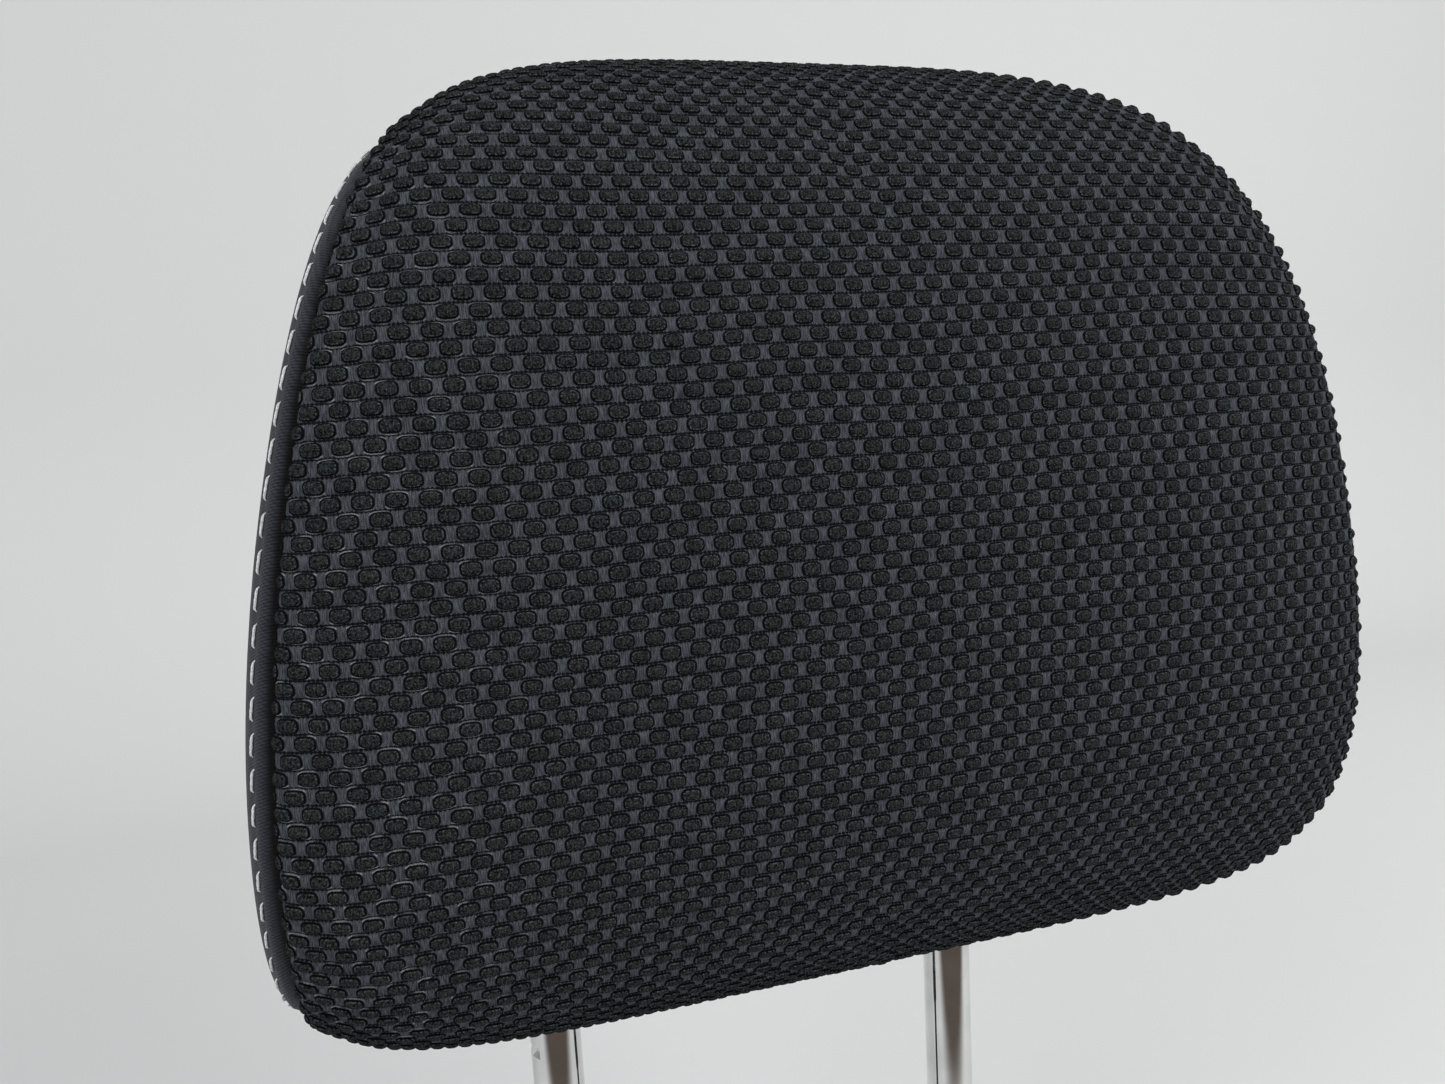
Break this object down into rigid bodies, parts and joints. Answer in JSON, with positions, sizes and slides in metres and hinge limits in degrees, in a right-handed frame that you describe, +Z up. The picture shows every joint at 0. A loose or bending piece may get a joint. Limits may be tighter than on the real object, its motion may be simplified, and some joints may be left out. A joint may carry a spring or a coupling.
{
  "type": "seat headrest",
  "caption": "Padded seat headrest with a knitted cover on a bent two-post chromed frame, with forward tilt, height slide and locking guide sleeves.",
  "frame": {"origin": "midway between the two posts, on the seat face that carries the guide sleeve flanges", "axes": "+Z up along the posts, -Y towards the sitter's head, +X across the seat"},
  "size_m": [0.2164, 0.1242, 0.376],
  "materials": {
    "knit": "coarse brick-pattern knit",
    "twill": "fine twill weave",
    "thread": "twisted sewing thread",
    "foam": "open cell foam",
    "chrome": "polished",
    "trim_plastic": "fine moulded grain",
    "core_plastic": "plain moulded",
    "bush_plastic": "smooth moulded",
    "spring_steel": "oiled strip",
    "zinc_steel": "zinc plated"
  },
  "bodies": {
    "seat_guides": {"guide_sleeve_left": "trim_plastic", "guide_sleeve_right": "trim_plastic"},
    "button": {"release_button": "trim_plastic", "lock_wire": "spring_steel"},
    "frame": {"post_frame": "chrome", "tilt_bush_left": "bush_plastic", "tilt_bush_right": "bush_plastic", "stop_plate": "spring_steel"},
    "pad": {"cover_front": "knit", "cover_back": "twill", "cover_side_left": "twill", "cover_side_right": "twill", "topstitch_left": "thread", "topstitch_right": "thread", "foam_pad": "foam", "closing_strip_front": "trim_plastic", "closing_strip_rear": "trim_plastic", "post_bezel_left": "trim_plastic", "post_bezel_right": "trim_plastic", "core_front": "core_plastic", "core_rear": "core_plastic", "core_screws": "zinc_steel", "friction_clip_left": "spring_steel", "friction_clip_right": "spring_steel", "clip_screws": "zinc_steel"}
  },
  "joints": [
    {"name": "height_slide", "type": "slide", "parent": "seat_guides", "child": "frame", "axis": [0, 0, 1], "range_m": [-0.06, 0]},
    {"name": "pad_tilt", "type": "hinge", "parent": "frame", "child": "pad", "pos_m": [0, 0, 0.166], "axis": [1, 0, 0], "range_deg": [0, 15]},
    {"name": "button_press", "type": "slide", "parent": "seat_guides", "child": "button", "axis": [1, 0, 0], "range_m": [0, 0.003], "stiffness_N_per_m": 900, "springref_m": -0.002}
  ]
}
